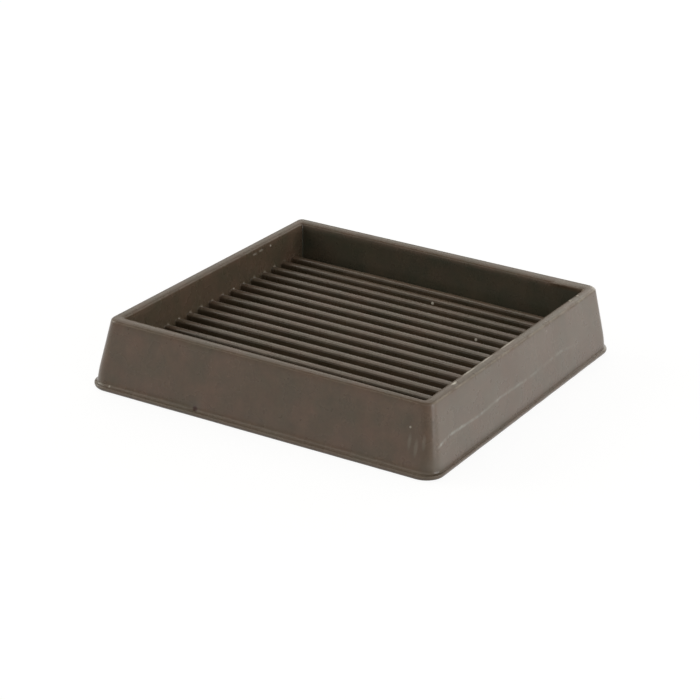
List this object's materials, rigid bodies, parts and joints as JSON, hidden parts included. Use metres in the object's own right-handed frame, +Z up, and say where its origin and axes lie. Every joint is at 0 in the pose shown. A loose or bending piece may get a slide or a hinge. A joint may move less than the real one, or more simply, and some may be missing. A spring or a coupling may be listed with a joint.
{
  "type": "caster cup",
  "caption": "Square moulded rubber cup with drafted walls, a foot lip and a ribbed floor, set under a caster or furniture leg to protect the floor.",
  "frame": {"origin": "middle of the underside, on the floor that the cup stands on", "axes": "+Z up out of the well, +X along the grip ribs, +Y across them; the walls at -Y and +X are the two that the picture shows from outside"},
  "size_m": [0.08, 0.08, 0.0146],
  "materials": {
    "brown_rubber": "matt moulded rubber, dark greyish brown, with a faint pale bloom"
  },
  "bodies": {
    "root": {"cup_shell": "brown_rubber", "floor_rib_01": "brown_rubber", "floor_rib_02": "brown_rubber", "floor_rib_03": "brown_rubber", "floor_rib_04": "brown_rubber", "floor_rib_05": "brown_rubber", "floor_rib_06": "brown_rubber", "floor_rib_07": "brown_rubber", "floor_rib_08": "brown_rubber", "floor_rib_09": "brown_rubber", "floor_rib_10": "brown_rubber", "floor_rib_11": "brown_rubber", "floor_rib_12": "brown_rubber", "floor_rib_13": "brown_rubber", "floor_rib_14": "brown_rubber", "floor_rib_15": "brown_rubber"}
  },
  "joints": []
}
